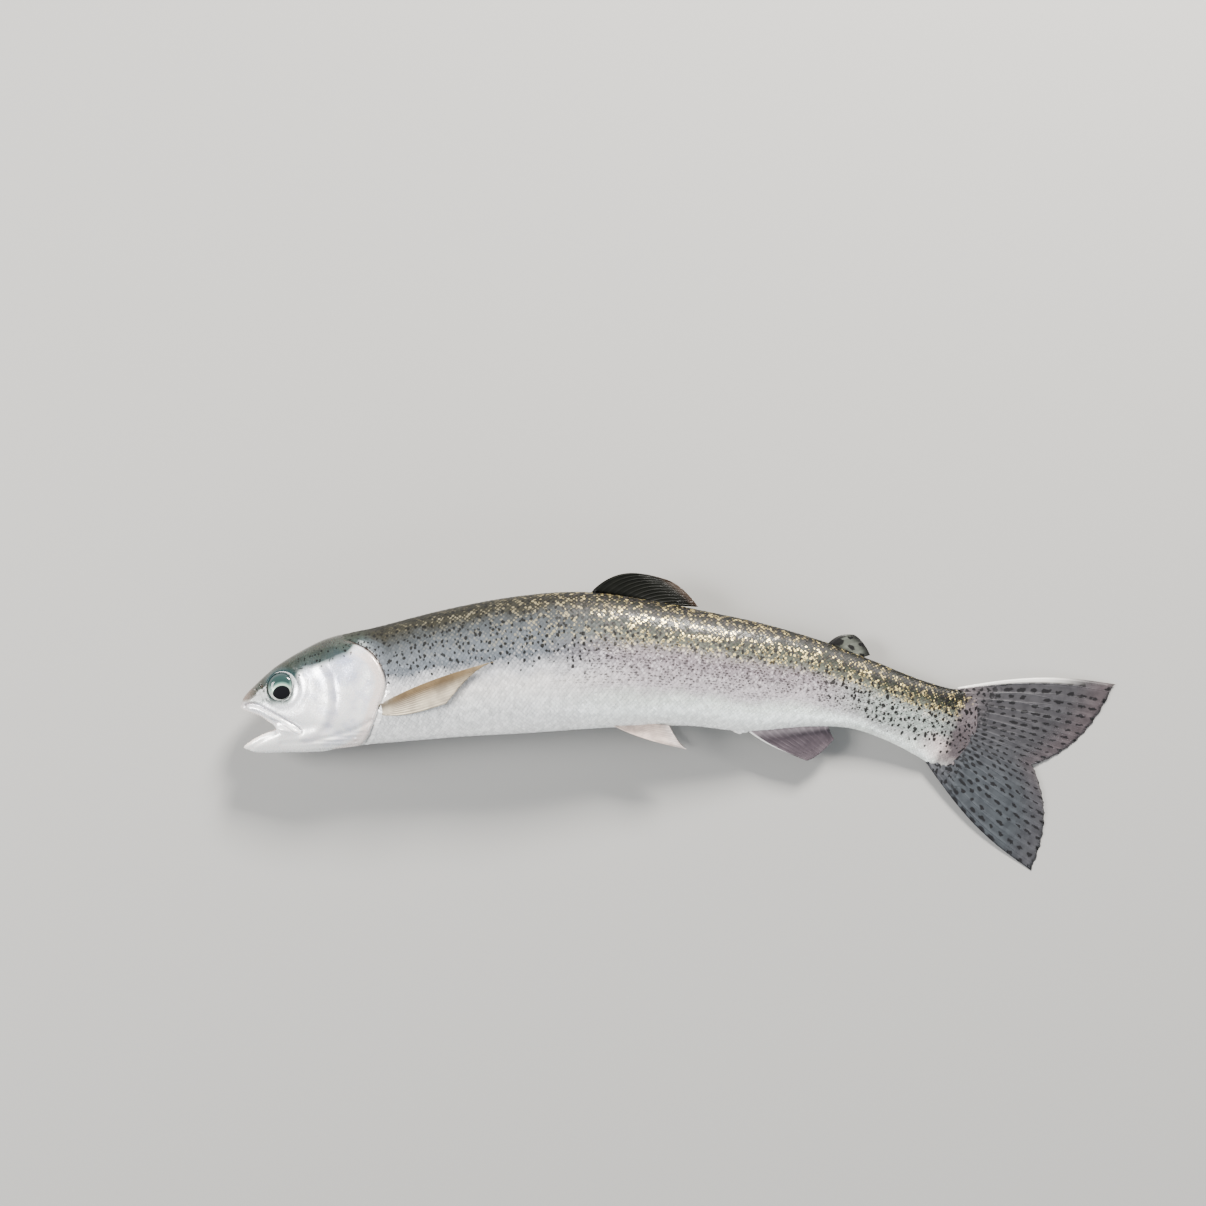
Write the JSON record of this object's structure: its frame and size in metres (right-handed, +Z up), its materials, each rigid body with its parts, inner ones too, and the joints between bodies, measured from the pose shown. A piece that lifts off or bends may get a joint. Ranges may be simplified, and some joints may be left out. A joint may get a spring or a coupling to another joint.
{
  "type": "rainbow trout",
  "caption": "Life-size still model of a freshly caught rainbow trout lying on its right side, back arched, mouth open, with folded fins and a forked spotted tail.",
  "frame": {"origin": "on the floor, under the middle of the lying fish's bounding box", "axes": "+Z up out of the left flank, head towards -X, back towards +Y"},
  "size_m": [0.2866, 0.0984, 0.0282],
  "materials": {
    "head_skin": "wet scaleless skin, silvery white with an olive-grey top",
    "gill_cover": "smooth bright silver with a pinkish rim",
    "scaled_skin": "wet silver scales, olive back with black spots, lilac band, white belly",
    "fin": "thin translucent rayed membrane",
    "eye": "clear wet cornea over a silver-green iris and black pupil",
    "mouth_lining": "wet pale pink flesh"
  },
  "bodies": {
    "root": {"head": "head_skin", "lower_jaw": "head_skin", "tongue": "mouth_lining", "maxilla_left": "head_skin", "maxilla_right": "head_skin", "eye_left": "eye", "eye_right": "eye", "gill_cover_left": "gill_cover", "gill_cover_right": "gill_cover", "trunk_front": "scaled_skin", "trunk_rear": "scaled_skin", "tail_stalk": "scaled_skin", "fin_dorsal": "fin", "fin_adipose": "fin", "fin_anal": "fin", "fin_caudal": "fin", "fin_pectoral_left": "fin", "fin_pectoral_right": "fin", "fin_pelvic_left": "fin", "fin_pelvic_right": "fin"}
  },
  "joints": []
}
